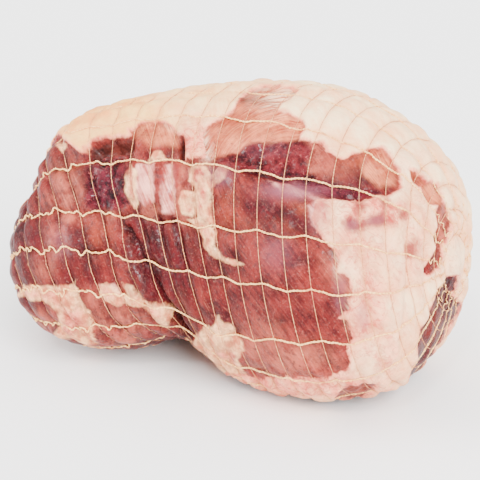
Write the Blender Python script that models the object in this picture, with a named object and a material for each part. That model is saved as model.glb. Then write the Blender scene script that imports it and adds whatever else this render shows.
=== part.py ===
# Boneless ham roast, whole, tied in an elastic butcher's net.
# Two pieces: the meat with its fat cap, one solid, and the knitted net around it.
# X runs along the roast, -Y is the lean front, +Z is the fat side. Metres.

import bmesh
import bpy
import numpy as np

MM = 0.001

# Muscles that make up the roast: centre, radii, tilt about Y in degrees, squareness.
# They are blended into one body. Lengths in millimetres.
MUSCLES = {
    "leg": ((47.0, 9.5, 76.5), (83.0, 83.0, 79.5), 1.0, 2.5),
    "lobe": ((-75.5, -4.5, 63.5), (63.5, 71.5, 55.0), -2.0, 2.3),
    "fat_cap": ((-13.5, 11.5, 112.0), (112.0, 75.0, 54.0), -9.5, 2.4),
    "corner": ((72.5, -23.5, 76.5), (51.0, 64.0, 61.0), -15.0, 2.6),
    "cap_tip": ((-84.0, 9.5, 104.5), (39.0, 56.5, 41.5), -5.0, 2.4),
    "seam": ((-24.5, -26.5, 77.0), (41.5, 47.0, 43.0), 0.0, 2.2),
    "underside": ((-54.5, 37.5, 51.5), (69.5, 47.0, 54.5), 0.0, 2.3),
    "back": ((-8.0, 28.0, 76.0), (78.0, 54.0, 56.0), 0.0, 2.4),
}
BLEND = 9.5

# The line inside the roast that every point of the skin is measured from.
SPINE_LEFT = -80.0
SPINE_RIGHT = 70.5
SPINE_HEIGHT = 82.5
REACH = 190.0

# Net layout in degrees: stations from the left end to the right end, and the
# angle of each lengthwise cord above the front, going over the fat side.
HOOPS = (14, 24, 33, 41, 48, 54, 59.5, 65, 70.5, 75.5, 80, 84.5, 89.5,
         94, 98.5, 103, 108, 113, 117.5, 122.5, 128, 134, 141, 148, 156, 165)
CORDS = (-31, -13, 5, 23, 47, 69, 91, 112, 132, 151,
         169, 187, 205, 224, 244, 265, 286, 307)
HOOP_LEAN = 6.5
LEAN_ANGLE = 17.0
LOBE_LEAN = 12.0
LOBE_STATION = 42.0
LOBE_SPAN = 26.0
END_SLIP = 36.0
SLIP_SPAN = 44.0
CORD_SAG = 15.0
SAG_STATION = 91.0
SAG_SPAN = 15.0
SAG_ANGLE = -20.0
SAG_REACH = 25.0
ZIGZAG_LEFT = 1.5
ZIGZAG_RIGHT = 0.5

# The two kinds of string, and how they press into the meat.
CORD_WIDTH = 1.8
CORD_HEIGHT = 1.2
HOOP_WIDTH = 1.2
HOOP_HEIGHT = 0.9
STRING_GAP = 1.0
STRING_SINK = 0.8
CORD_DIP = 0.2
BRIDGING = 0.6
PILLOW = 2.0
FULL_PILLOW_WIDTH = 24.0
END_PILLOW = 3.0

# The base: how far the roast settles under its own weight, the level of its skin
# there, and how far the pillows would spread below the table that cuts them flat.
SETTLING = 3.0
BASE_LEVEL = 1.8
BASE_SOFTNESS = 1.5
BASE_SPREAD = 1.5
BASE_CLEAR = 0.4

# Relief of the meat under the net, each a stroke over the skin from one place to
# another: X and angle at both ends, half width, height. A hollow is negative.
ARC_SCALE = 1.4
RELIEF = {
    "crease_between_lobes": ((-29, 14), (-5, -42), 9.0, -5.0),
    "hollow_under_fat_edge": ((-78, 55), (-47, 57), 10.0, -5.0),
    "open_seam_of_front": ((9, 57), (53, 50), 12.0, -4.0),
    "fat_strand": ((-4, 48), (8, 27), 9.0, 2.5),
    "fat_edge_left": ((-88, 72), (-30, 74), 10.0, 2.0),
    "fat_edge_right": ((54, 68), (84, 66), 10.0, 2.0),
}

SHARP_ANGLE = 50.0
CUT_TOLERANCE = 1e-5
MEAT_COLOUR = (0.52, 0.16, 0.13, 1.0)
NET_COLOUR = (0.86, 0.70, 0.48, 1.0)


def blended(first, second):
    """Union of two distance-like fields with a fillet of BLEND."""
    share = np.clip(0.5 + 0.5 * (second - first) / BLEND, 0.0, 1.0)
    return second * (1.0 - share) + first * share - BLEND * share * (1.0 - share)


def muscle_field(points):
    """Negative inside the roast, positive outside, for points in millimetres."""
    field = None
    for centre, radii, tilt, squareness in MUSCLES.values():
        turn = np.radians(tilt)
        offset = points - np.array(centre)
        along = offset[..., 0] * np.cos(turn) - offset[..., 2] * np.sin(turn)
        up = offset[..., 0] * np.sin(turn) + offset[..., 2] * np.cos(turn)
        scaled = np.stack([along, offset[..., 1], up], axis=-1) / np.array(radii)
        norm = (np.abs(scaled) ** squareness).sum(axis=-1) ** (1.0 / squareness)
        muscle = (norm - 1.0) * min(radii)
        field = muscle if field is None else blended(field, muscle)
    return field


def outward(station, angle):
    """Unit direction away from the spine at a station and an angle, in degrees."""
    u = np.radians(station)
    a = np.radians(angle)
    return np.stack([-np.cos(u), -np.sin(u) * np.cos(a), np.sin(u) * np.sin(a)], axis=-1)


def skin(station, angle):
    """Point of the smooth skin, flattened where the roast lies on its base."""
    station, angle = np.broadcast_arrays(station, angle)
    share = 0.5 - 0.5 * np.cos(np.radians(station))
    start = np.stack([
        SPINE_LEFT + (SPINE_RIGHT - SPINE_LEFT) * share,
        np.zeros(share.shape),
        np.full(share.shape, SPINE_HEIGHT),
    ], axis=-1)
    direction = outward(station, angle)
    near = np.zeros(share.shape)
    far = np.full(share.shape, REACH)
    for _ in range(30):
        middle = (near + far) / 2.0
        inside = muscle_field(start + direction * middle[..., None]) < 0.0
        near = np.where(inside, middle, near)
        far = np.where(inside, far, middle)
    point = start + direction * near[..., None]
    above = (point[..., 2] - SETTLING - BASE_LEVEL) / BASE_SOFTNESS
    point[..., 2] = BASE_LEVEL + BASE_SOFTNESS * np.logaddexp(0.0, above)
    return point


def relief(point, angle):
    """Height of the meat's own relief at points of the skin."""
    height = np.zeros(angle.shape)
    place = np.stack([point[..., 0], ARC_SCALE * angle], axis=-1)
    for start, end, half_width, tall in RELIEF.values():
        start = np.array([start[0], ARC_SCALE * start[1]])
        run = np.array([end[0], ARC_SCALE * end[1]]) - start
        share = np.clip(((place - start) @ run) / (run @ run), 0.0, 1.0)
        away = np.linalg.norm(place - start - share[..., None] * run, axis=-1)
        height += tall * np.exp(-(away / half_width) ** 2)
    return height


def net_place(station, angle):
    """Station and angle on the skin of a place in the net.

    Hoops lean over the roast, most on the lobe, and the left end has slipped down.
    """
    lean = HOOP_LEAN + LOBE_LEAN * np.exp(-((station - LOBE_STATION) / LOBE_SPAN) ** 2)
    lean = lean * np.sin(np.radians(angle - LEAN_ANGLE))
    station = station - lean * np.sin(np.radians(station))
    slip = np.radians(END_SLIP) * np.exp(-(station / SLIP_SPAN) ** 2)
    along, across, up = np.moveaxis(outward(station, angle), -1, 0)
    turned_along = along * np.cos(slip) - up * np.sin(slip)
    turned_up = along * np.sin(slip) + up * np.cos(slip)
    turned_angle = np.degrees(np.arctan2(turned_up, -across))
    change = (turned_angle - angle + 180.0) % 360.0 - 180.0
    return np.degrees(np.arccos(-turned_along)), angle + change


def net_angles():
    """Angle of every crossing: cords zigzag between hoops and sag over the crease."""
    stations = np.array(HOOPS, dtype=float)[:, None]
    cords = np.array(CORDS, dtype=float)[None, :]
    side = np.where(np.arange(len(HOOPS)) % 2 == 0, 1.0, -1.0)[:, None]
    share = stations / 180.0
    swing = ZIGZAG_LEFT * (1.0 - share) + ZIGZAG_RIGHT * share
    sag = CORD_SAG * np.exp(-((stations - SAG_STATION) / SAG_SPAN) ** 2)
    sag = sag * np.exp(-((cords - SAG_ANGLE) / SAG_REACH) ** 2)
    return cords + side * swing - sag


def between(values, step=0.0):
    """Values half way to the next cord, around the loop."""
    following = np.roll(values, -1, axis=1)
    following[:, -1] += step
    return (values + following) / 2.0


def string_points():
    """Crossings, and the points half way along each stretch of hoop, pressed in."""
    cord_angles = net_angles()
    gap_angles = between(cord_angles, 360.0)
    stations = np.array(HOOPS, dtype=float)[:, None]
    points = []
    for angles in (cord_angles, gap_angles):
        place = net_place(stations, angles)
        points.append(skin(*place) - STRING_SINK * outward(*place))
    return points[0], points[1], cord_angles, gap_angles


def meat_rows():
    """Rings of the meat: on each hoop and half way to the next one."""
    crossings, hoop_middles, cord_angles, gap_angles = string_points()
    stations = np.array(HOOPS, dtype=float)[:, None]
    mid_stations = (stations[:-1] + stations[1:]) / 2.0

    def lowered(points, place):
        depth = np.minimum(relief(points, place[1]), 0.0)
        return points + depth[..., None] * outward(*place)

    cord_mid_place = net_place(mid_stations, (cord_angles[:-1] + cord_angles[1:]) / 2.0)
    cord_middles = (crossings[:-1] + crossings[1:]) / 2.0
    cord_middles -= CORD_DIP * outward(*cord_mid_place)

    cell_place = net_place(mid_stations, (gap_angles[:-1] + gap_angles[1:]) / 2.0)
    cells = skin(*cell_place)
    lying = cells[..., 2] < BASE_LEVEL + BASE_SOFTNESS
    cell_width = np.linalg.norm(np.roll(cord_middles, -1, axis=1) - cord_middles, axis=-1)
    pillow = PILLOW * np.minimum(cell_width / FULL_PILLOW_WIDTH, 1.0)
    rise = pillow + relief(cells, cell_place[1])
    cells = cells + rise[..., None] * outward(*cell_place)
    low = np.maximum(cells[..., 2], BASE_CLEAR)
    cells[..., 2] = np.where(lying, -BASE_SPREAD, low)

    crossings = lowered(crossings, net_place(stations, cord_angles))
    hoop_middles = lowered(hoop_middles, net_place(stations, gap_angles))
    cord_middles = lowered(cord_middles, cord_mid_place)

    rows = []
    for index in range(len(HOOPS)):
        rows.append(np.stack([crossings[index], hoop_middles[index]], axis=1).reshape(-1, 3))
        if index < len(HOOPS) - 1:
            rows.append(np.stack([cord_middles[index], cells[index]], axis=1).reshape(-1, 3))
    return rows


def new_mesh(name, colour, roughness):
    """Named object with its own material, and the bmesh that fills it."""
    mesh = bpy.data.meshes.new(name)
    thing = bpy.data.objects.new(name, mesh)
    bpy.context.scene.collection.objects.link(thing)
    material = bpy.data.materials.new(name)
    material.use_nodes = True
    shader = material.node_tree.nodes["Principled BSDF"]
    shader.inputs["Base Color"].default_value = colour
    shader.inputs["Roughness"].default_value = roughness
    shader.inputs["Metallic"].default_value = 0.0
    mesh.materials.append(material)
    return thing, bmesh.new()


def finish(thing, body):
    """Write the bmesh into its object, in metres, facing outwards."""
    bmesh.ops.recalc_face_normals(body, faces=body.faces)
    bmesh.ops.triangulate(body, faces=body.faces)
    bmesh.ops.scale(body, vec=(MM, MM, MM), verts=body.verts)
    body.to_mesh(thing.data)
    body.free()
    thing.data.shade_smooth()
    thing.data.set_sharp_from_angle(angle=np.radians(SHARP_ANGLE))


def make_meat():
    """The whole roast: pillows between the strings, and a flat base."""
    thing, body = new_mesh("ham", MEAT_COLOUR, 0.35)
    rings = [[body.verts.new(point) for point in row] for row in meat_rows()]
    around = len(rings[0])
    for upper in range(0, len(rings) - 2, 2):
        for left in range(0, around, 2):
            centre = rings[upper + 1][left + 1]
            right = (left + 2) % around
            rim = [
                rings[upper][left], rings[upper][left + 1], rings[upper][right],
                rings[upper + 1][right], rings[upper + 2][right],
                rings[upper + 2][left + 1], rings[upper + 2][left], rings[upper + 1][left],
            ]
            for index, corner in enumerate(rim):
                body.faces.new((corner, rim[(index + 1) % len(rim)], centre))
    for ring, station in ((rings[0], 0.0), (rings[-1], 180.0)):
        place = net_place(station, 0.0)
        pole = body.verts.new(skin(*place) + END_PILLOW * outward(*place))
        for index, corner in enumerate(ring):
            body.faces.new((corner, ring[(index + 1) % around], pole))
    everything = list(body.verts) + list(body.edges) + list(body.faces)
    cut = bmesh.ops.bisect_plane(body, geom=everything, dist=CUT_TOLERANCE,
                                 plane_co=(0, 0, 0), plane_no=(0, 0, -1), clear_outer=True)
    rim_edges = [item for item in cut["geom_cut"] if isinstance(item, bmesh.types.BMEdge)]
    bmesh.ops.holes_fill(body, edges=rim_edges, sides=0)
    finish(thing, body)
    return thing


def make_net():
    """Lengthwise cords and hoops, knitted into one piece at every crossing."""
    thing, body = new_mesh("netting", NET_COLOUR, 0.8)
    crossings, hoop_middles, _, _ = string_points()
    hoop_count, cord_count = crossings.shape[:2]
    along = np.gradient(crossings, axis=0)
    across = np.roll(crossings, -1, axis=1) - np.roll(crossings, 1, axis=1)
    along /= np.linalg.norm(along, axis=-1, keepdims=True)
    across -= (across * along).sum(-1, keepdims=True) * along
    across /= np.linalg.norm(across, axis=-1, keepdims=True)
    out = np.cross(across, along)
    out *= np.sign((out * (crossings - crossings.mean(axis=1, keepdims=True))).sum(-1))[..., None]

    beside = (hoop_middles + np.roll(hoop_middles, 1, axis=1)) / 2.0
    before_after = crossings.copy()
    before_after[1:-1] = (crossings[:-2] + crossings[2:]) / 2.0
    sag = np.maximum(((beside - crossings) * out).sum(-1), 0.0)
    sag = np.maximum(sag, ((before_after - crossings) * out).sum(-1))
    crossings = crossings + BRIDGING * sag[..., None] * out

    knots = []
    for i in range(hoop_count):
        row = []
        for k in range(cord_count):
            base = crossings[i, k] + STRING_GAP * out[i, k]
            half_u = along[i, k] * HOOP_WIDTH / 2.0
            half_a = across[i, k] * CORD_WIDTH / 2.0
            corners = {}
            for u in (-1, 1):
                for a in (-1, 1):
                    corners[u, a] = body.verts.new(base + u * half_u + a * half_a)
            top = body.verts.new(base + CORD_HEIGHT * out[i, k])
            body.faces.new((corners[-1, -1], corners[1, -1], corners[1, 1], corners[-1, 1]))
            row.append((corners, top))
        knots.append(row)

    def stretch(first, second):
        """Skin of a string between two sections, each left foot, top, right foot."""
        for index in range(3):
            following = (index + 1) % 3
            body.faces.new((first[index], first[following], second[following], second[index]))

    for i in range(hoop_count):
        for k in range(cord_count):
            corners, top = knots[i][k]
            beyond, beyond_top = knots[i][(k + 1) % cord_count]
            side = along[i, k] + along[i, (k + 1) % cord_count]
            side *= HOOP_WIDTH / 2.0 / np.linalg.norm(side)
            raised = out[i, k] + out[i, (k + 1) % cord_count]
            raised /= np.linalg.norm(raised)
            level = (crossings[i, k] + crossings[i, (k + 1) % cord_count]) / 2.0
            sag = max(float((level - hoop_middles[i, k]) @ raised), 0.0)
            base = hoop_middles[i, k] + (STRING_GAP + BRIDGING * sag) * raised
            middle = (
                body.verts.new(base - side),
                body.verts.new(base + HOOP_HEIGHT * raised),
                body.verts.new(base + side),
            )
            stretch((corners[-1, 1], top, corners[1, 1]), middle)
            stretch(middle, (beyond[-1, -1], beyond_top, beyond[1, -1]))
            if i + 1 < hoop_count:
                ahead, ahead_top = knots[i + 1][k]
                stretch((corners[1, -1], top, corners[1, 1]),
                        (ahead[-1, -1], ahead_top, ahead[-1, 1]))
    for i, u in ((0, -1), (hoop_count - 1, 1)):
        for corners, top in knots[i]:
            body.faces.new((corners[u, -1], top, corners[u, 1]))
    finish(thing, body)
    return thing


def centre_on_base(things):
    """Put the middle of the roast's box over the origin."""
    corners = np.array([vertex.co for thing in things for vertex in thing.data.vertices])
    middle = (corners.min(axis=0) + corners.max(axis=0)) / 2.0
    for thing in things:
        for vertex in thing.data.vertices:
            vertex.co.x -= middle[0]
            vertex.co.y -= middle[1]


for old in list(bpy.data.objects):
    bpy.data.objects.remove(old, do_unlink=True)

centre_on_base([make_meat(), make_net()])
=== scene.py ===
import math
from functools import partial

import bpy
import numpy as np
from mathutils import Matrix, Vector
from mathutils.bvhtree import BVHTree


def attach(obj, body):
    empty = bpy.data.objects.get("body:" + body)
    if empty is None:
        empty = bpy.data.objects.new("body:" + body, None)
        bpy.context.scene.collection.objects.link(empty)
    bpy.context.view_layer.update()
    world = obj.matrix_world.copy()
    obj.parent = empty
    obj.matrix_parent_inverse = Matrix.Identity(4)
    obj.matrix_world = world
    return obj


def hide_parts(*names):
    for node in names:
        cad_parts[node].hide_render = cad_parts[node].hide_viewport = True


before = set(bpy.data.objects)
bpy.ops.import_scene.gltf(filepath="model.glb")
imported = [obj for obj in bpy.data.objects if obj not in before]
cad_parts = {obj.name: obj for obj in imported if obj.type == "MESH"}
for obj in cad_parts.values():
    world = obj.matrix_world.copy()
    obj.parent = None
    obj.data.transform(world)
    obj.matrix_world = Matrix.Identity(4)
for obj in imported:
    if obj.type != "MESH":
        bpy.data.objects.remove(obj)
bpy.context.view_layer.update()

# Viewpoint
# The roast is seen from its lean front, a little from the right and from above,
# through a long lens.
VIEW_AZIMUTH = math.radians(24.0)
VIEW_ELEVATION = math.radians(19.0)
VIEW_DISTANCE = 0.874
LENS_MM = 112.0
SENSOR_MM = 36.0
NEAREST_SEEN = 0.01
IMAGE_SIDE = 480
VIEW_TARGET = Vector((0.0036, -0.0025, 0.0770))

view_back = Vector((
    math.sin(VIEW_AZIMUTH) * math.cos(VIEW_ELEVATION),
    -math.cos(VIEW_AZIMUTH) * math.cos(VIEW_ELEVATION),
    math.sin(VIEW_ELEVATION),
))
view_right = Vector((math.cos(VIEW_AZIMUTH), math.sin(VIEW_AZIMUTH), 0.0))
view_up = view_back.cross(view_right)
eye = VIEW_TARGET + view_back * VIEW_DISTANCE


def add_object(name, data):
    """New object in the scene."""
    item = bpy.data.objects.new(name, data)
    bpy.context.scene.collection.objects.link(item)
    return item


camera_data = bpy.data.cameras.new("camera")
camera_data.lens = LENS_MM
camera_data.sensor_width = SENSOR_MM
camera_data.clip_start = NEAREST_SEEN
camera = add_object("camera", camera_data)
camera.matrix_world = Matrix((
    (view_right.x, view_up.x, view_back.x, eye.x),
    (view_right.y, view_up.y, view_back.y, eye.y),
    (view_right.z, view_up.z, view_back.z, eye.z),
    (0.0, 0.0, 0.0, 1.0),
))
bpy.context.scene.camera = camera


def picture_place(points):
    """Pixel column and row, in the photograph's frame, of points in metres."""
    from_eye = points - np.array(eye)
    depth = -(from_eye @ np.array(view_back))
    scale = LENS_MM / SENSOR_MM * IMAGE_SIDE / depth
    column = IMAGE_SIDE / 2 + (from_eye @ np.array(view_right)) * scale
    row = IMAGE_SIDE / 2 - (from_eye @ np.array(view_up)) * scale
    return np.stack([column, row], axis=-1)


# Bare roast
# One whole boned leg of pork, rolled so that its thick fat cap lies on top and its lean
# muscles show in front. Its smooth skin is felt out from a line inside the solid roast,
# in directions given by a station along the roast and an angle above the front.
SPINE_LEFT = -0.0764
SPINE_RIGHT = 0.0741
SPINE_Y = -0.0025
SPINE_HEIGHT = 0.0795
STATION_STEPS = 360
ANGLE_STEPS = 400
END_TO_END_MM = 400.0
GIRTH_MM = 540.0
EVENING_OUT_MM = 6.5

stations = np.linspace(0.0, 180.0, STATION_STEPS + 1)[1:-1]
angles = np.arange(ANGLE_STEPS) * (360.0 / ANGLE_STEPS)
station_grid, angle_grid = np.meshgrid(stations, angles, indexing="ij")


def spine_point(station):
    """Point on the line inside the roast that a station belongs to."""
    share = 0.5 - 0.5 * np.cos(np.radians(station))
    x = SPINE_LEFT + (SPINE_RIGHT - SPINE_LEFT) * share
    return np.stack([x, np.full(x.shape, SPINE_Y), np.full(x.shape, SPINE_HEIGHT)], axis=-1)


def outward(station, angle):
    """Unit direction from the line inside, for a station and an angle in degrees."""
    u = np.radians(station)
    a = np.radians(angle)
    return np.stack([-np.cos(u), -np.sin(u) * np.cos(a), np.sin(u) * np.sin(a)], axis=-1)


def bell_weights(spread, reach):
    """Weights of a blur, which add up to 1."""
    weights = np.exp(-0.5 * (np.arange(-reach, reach + 1) / spread) ** 2)
    return weights / weights.sum()


def evened_out(grid, along, around):
    """A grid blurred along the roast and around it, by that many cells."""
    for axis, cells in ((0, along), (1, around)):
        reach = int(3 * cells)
        mode = "edge" if axis == 0 else "wrap"
        width = [(reach, reach) if axis == n else (0, 0) for n in (0, 1)]
        padded = np.pad(grid, width, mode=mode)
        total = np.zeros(grid.shape)
        for offset, weight in enumerate(bell_weights(cells, reach)):
            part = [slice(None), slice(None)]
            part[axis] = slice(offset, offset + grid.shape[axis])
            total += weight * padded[tuple(part)]
        grid = total
    return grid


solid_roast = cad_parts["ham"]
roast_surface = BVHTree.FromPolygons(
    [vertex.co for vertex in solid_roast.data.vertices],
    [tuple(face.vertices) for face in solid_roast.data.polygons],
)
grid_start = spine_point(station_grid)
grid_out = outward(station_grid, angle_grid)
reach_grid = np.zeros(station_grid.shape)
for index in np.ndindex(reach_grid.shape):
    hit = roast_surface.ray_cast(Vector(grid_start[index]), Vector(grid_out[index]))
    reach_grid[index] = hit[3]
along_cell_mm = END_TO_END_MM / STATION_STEPS
around_cell_mm = GIRTH_MM / ANGLE_STEPS
reach_grid = evened_out(reach_grid, EVENING_OUT_MM / along_cell_mm,
                        EVENING_OUT_MM / around_cell_mm)
LAST_ROW = len(stations) - 1.001


def between_rows(grid, station, angle):
    """Value of a grid at any station and angle."""
    row = np.clip(station / 180.0 * STATION_STEPS - 1.0, 0.0, LAST_ROW)
    column = (angle % 360.0) / 360.0 * ANGLE_STEPS
    row_low = row.astype(int)
    column_low = column.astype(int) % ANGLE_STEPS
    column_high = (column_low + 1) % ANGLE_STEPS
    down = row - row_low
    over = column - column.astype(int)
    upper = grid[row_low, column_low] * (1 - over) + grid[row_low, column_high] * over
    lower = grid[row_low + 1, column_low] * (1 - over) + grid[row_low + 1, column_high] * over
    return upper * (1 - down) + lower * down


# Lie of the net
# The net is knitted as a tube: thick cords run from end to end and thin elastic hoops
# tie them together. It is drawn on tight, so it presses the meat into pillows. Hoops are
# placed by station, from 0 at the left tip to 180 at the right, and cords by angle.
HOOPS = (14, 24, 33, 41, 48, 54, 59.5, 65, 70.5, 75.5, 80, 84.5, 89.5,
         94, 98.5, 103, 108, 113, 117.5, 122.5, 128, 134, 141, 148, 156, 165)
CORDS = (-31, -13, 5, 23, 47, 69, 91, 112, 132, 151,
         169, 187, 205, 224, 244, 265, 286, 307)
HOOP_LEAN = 6.5
LEAN_ANGLE = 17.0
LOBE_LEAN = 12.0
LOBE_STATION = 42.0
LOBE_SPAN = 26.0
END_SLIP = 36.0
SLIP_SPAN = 44.0
CORD_SAG = 15.0
SAG_STATION = 91.0
SAG_SPAN = 15.0
SAG_ANGLE = -20.0
SAG_REACH = 25.0
ZIGZAG_LEFT = 1.5
ZIGZAG_RIGHT = 0.5
SPACING_PAST_LEFT = 10.0
SPACING_PAST_RIGHT = 9.0
SWING_ROOM = 20.0
HOOP_MARGIN = 0.2
SOLVING_STEPS = 8
FAR_MM = 99.0
TINY = 1e-6

hoop_stations = np.array(HOOPS, dtype=float)
cord_angles = np.array(CORDS, dtype=float)


def bell(away, half_width):
    """1 in the middle, fading out past the half width."""
    return np.exp(-(away / half_width) ** 2)


def lean(station, angle):
    """How far back a hoop leans at an angle, in degrees of station."""
    most = HOOP_LEAN + LOBE_LEAN * bell(station - LOBE_STATION, LOBE_SPAN)
    return most * np.sin(np.radians(angle - LEAN_ANGLE)) * np.sin(np.radians(station))


def swung_by(station, cord):
    """How far a cord is off its angle: it zigzags between hoops and sags over the crease."""
    share = hoop_stations / 180.0
    swing = ZIGZAG_LEFT * (1.0 - share) + ZIGZAG_RIGHT * share
    side = np.where(np.arange(len(HOOPS)) % 2 == 0, 1.0, -1.0)
    sag = CORD_SAG * bell(station - SAG_STATION, SAG_SPAN) * bell(cord - SAG_ANGLE, SAG_REACH)
    return np.interp(station, hoop_stations, side * swing) - sag


def slipped(station, angle, way, upright):
    """Station and angle turned by the slip of the net's left end, there (1) or back (-1)."""
    slip = way * np.radians(END_SLIP) * bell(upright, SLIP_SPAN)
    along, across, up = np.moveaxis(outward(station, angle), -1, 0)
    turned_along = along * np.cos(slip) - up * np.sin(slip)
    turned_up = along * np.sin(slip) + up * np.cos(slip)
    turned_angle = np.degrees(np.arctan2(turned_up, -across))
    change = (turned_angle - angle + 180.0) % 360.0 - 180.0
    return np.degrees(np.arccos(np.clip(-turned_along, -1.0, 1.0))), angle + change


def on_skin(station, angle):
    """Station and angle on the skin of a place in the net."""
    station = station - lean(station, angle)
    return slipped(station, angle, 1.0, station)


def net_place(station, angle):
    """Place in the net's own count: hoop number and cord number, with fractions."""
    level = station
    for _ in range(SOLVING_STEPS):
        level, round_angle = slipped(station, angle, -1.0, level)
    upright = level
    for _ in range(SOLVING_STEPS):
        upright = level + lean(upright, round_angle)
    hoop = np.interp(upright, hoop_stations, np.arange(len(HOOPS)))
    hoop += np.minimum(upright - hoop_stations[0], 0.0) / SPACING_PAST_LEFT
    hoop += np.maximum(upright - hoop_stations[-1], 0.0) / SPACING_PAST_RIGHT
    first = CORDS[0] - SWING_ROOM
    start = (round_angle - first) % 360.0 + first
    straight = start
    for _ in range(SOLVING_STEPS):
        straight = start - swung_by(upright, straight)
    turn = np.append(cord_angles, CORDS[0] + 360.0)
    cord = np.interp((straight - CORDS[0]) % 360.0 + CORDS[0], turn, np.arange(len(CORDS) + 1))
    return hoop, cord


def neighbour_step(points):
    """Change from one place round the roast to the next."""
    return (np.roll(points, -1, axis=1) - np.roll(points, 1, axis=1)) / 2.0


def long_mm(vectors):
    """Length of vectors in metres, in millimetres."""
    return np.linalg.norm(vectors, axis=-1) * 1000.0


def off_string(count, slope, cell_mm):
    """Distance in millimetres from the nearest string of a count."""
    return np.abs(count - np.round(count)) / (np.abs(slope) + TINY) * cell_mm


hoop_count, cord_count = net_place(station_grid, angle_grid)
skin_points = grid_start + reach_grid[..., None] * grid_out
along_step = np.gradient(skin_points, axis=0)
around_step = neighbour_step(skin_points)
half_round = len(CORDS) / 2.0
cord_slope = np.roll(cord_count, -1, axis=1) - cord_count
cord_slope = (cord_slope + half_round) % len(CORDS) - half_round
hoop_away = off_string(hoop_count, np.gradient(hoop_count, axis=0), long_mm(along_step))
cord_away = off_string(cord_count, cord_slope, long_mm(around_step))
last_hoop = len(HOOPS) - 1.0
in_net = (hoop_count > -HOOP_MARGIN) & (hoop_count < last_hoop + HOOP_MARGIN)
cord_away = np.where((hoop_count > 0.0) & (hoop_count < last_hoop), cord_away, FAR_MM)
hoop_away = np.where(in_net, hoop_away, FAR_MM)

# Where each tissue lies
# Fat, lean, membrane and clotted hollows meet along ragged edges. What faces the lens is
# laid out by outlines in picture pixels, and the rest by a plain rule round the roast.
FAT_CAP = (
    (62, 136), (64, 140), (70, 144), (78, 151), (83, 155), (87, 153), (87, 149), (92, 142),
    (98, 140), (107, 138), (116, 137), (127, 136), (131, 133), (129, 130), (135, 126),
    (145, 122), (155, 122), (165, 123), (173, 128), (178, 134), (184, 137), (184, 158),
    (200, 158), (206, 156), (204, 140), (205, 131), (212, 124), (222, 117), (233, 111),
    (238, 103), (243, 97), (251, 91), (264, 87), (278, 87), (297, 90), (292, 97), (280, 104),
    (277, 110), (286, 114), (300, 119), (305, 126), (300, 135), (299, 140),
    (313, 141), (323, 144), (325, 151), (338, 158), (344, 160), (352, 155), (362, 153),
    (370, 148), (381, 149), (393, 159), (399, 172), (399, 189), (387, 196), (378, 195),
    (370, 199), (350, 200), (335, 198), (316, 200), (312, 215), (318, 232), (330, 247),
    (336, 251), (339, 260), (336, 274), (344, 274), (349, 278), (353, 299), (347, 300),
    (350, 309), (338, 318), (347, 321), (353, 338), (346, 350), (350, 358), (347, 370),
    (318, 380), (290, 377), (262, 379), (225, 372), (240, 430), (490, 430), (490, 50),
    (40, 50), (40, 132),
)
FAT_PATCHES = (
    ((17, 296), (21, 286), (31, 286), (50, 287), (72, 285), (75, 280), (76, 295), (82, 304),
     (89, 312), (91, 326), (97, 345), (88, 346), (74, 340), (58, 338), (55, 332), (60, 322),
     (57, 311), (50, 304), (40, 302), (31, 301)),
    ((121, 282), (131, 286), (137, 293), (142, 299), (153, 300), (163, 306), (171, 315),
     (168, 326), (158, 325), (151, 317), (143, 308), (131, 306), (115, 305), (104, 302),
     (97, 296), (98, 286), (106, 283), (113, 288), (118, 296), (127, 296)),
    ((218, 316), (225, 323), (233, 327), (236, 336), (243, 343), (244, 352), (238, 360),
     (246, 376), (225, 373), (212, 361), (198, 349), (193, 343), (197, 334), (206, 328),
     (213, 325)),
    ((188, 172), (191, 166), (205, 165), (210, 173), (210, 187), (213, 222), (216, 231),
     (207, 222), (197, 218), (194, 198), (196, 190), (188, 180)),
    ((187, 219), (197, 217), (206, 222), (216, 232), (213, 246), (222, 256), (236, 262), (244, 265),
     (234, 266), (222, 261), (210, 254), (203, 246), (203, 238), (196, 230)),
    ((55, 144), (64, 141), (69, 147), (60, 151)),
    ((124, 173), (131, 164), (137, 171), (136, 186), (139, 204), (133, 207), (125, 194)),
    ((147, 159), (153, 150), (162, 151), (166, 159)),
    ((183, 190), (194, 190), (196, 207), (193, 217), (181, 213), (177, 202)),
    ((213, 173), (220, 166), (228, 170), (226, 180), (214, 186)),
)
LEAN_WINDOWS = (
    ((409, 170), (417, 173), (425, 183), (420, 187), (412, 178)),
    ((421, 186), (428, 183), (437, 184), (441, 194), (440, 206), (431, 203), (424, 196)),
    ((439, 200), (447, 209), (450, 221), (447, 236), (440, 248), (442, 258), (437, 269),
     (427, 275), (424, 271), (430, 260), (436, 247), (434, 240), (438, 228), (436, 214)),
    ((446, 277), (457, 276), (452, 296), (461, 305), (453, 320), (445, 334), (433, 354),
     (424, 370), (406, 381), (411, 367), (417, 357), (416, 343), (421, 327), (428, 318),
     (433, 303), (439, 289)),
    ((335, 397), (344, 388), (356, 385), (378, 384), (371, 392), (356, 399)),
)
# Hollows under the cap's lip and beside the round muscle: sunk, and painted nearly black as shadow.
SHADED_HOLLOWS = (
    ((87, 155), (90, 145), (99, 141), (114, 139), (128, 138), (134, 141), (133, 148),
     (124, 153), (106, 154), (99, 158), (87, 158)),
    ((179, 140), (185, 137), (184, 158), (178, 157)),
)
CLOTTED = (
    ((86, 167), (99, 158), (121, 158), (123, 167), (127, 176), (125, 190), (130, 202),
     (122, 208), (105, 209), (92, 210), (86, 204), (83, 190)),
    ((208, 158), (238, 152), (250, 143), (268, 141), (285, 142), (299, 140), (309, 143),
     (314, 149), (308, 160), (310, 172), (322, 181), (316, 187), (300, 181), (283, 175), (262, 171),
     (240, 165), (224, 162)),
    ((313, 178), (330, 180), (352, 190), (376, 190), (384, 194), (366, 199), (344, 196),
     (318, 188)),
)
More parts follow.
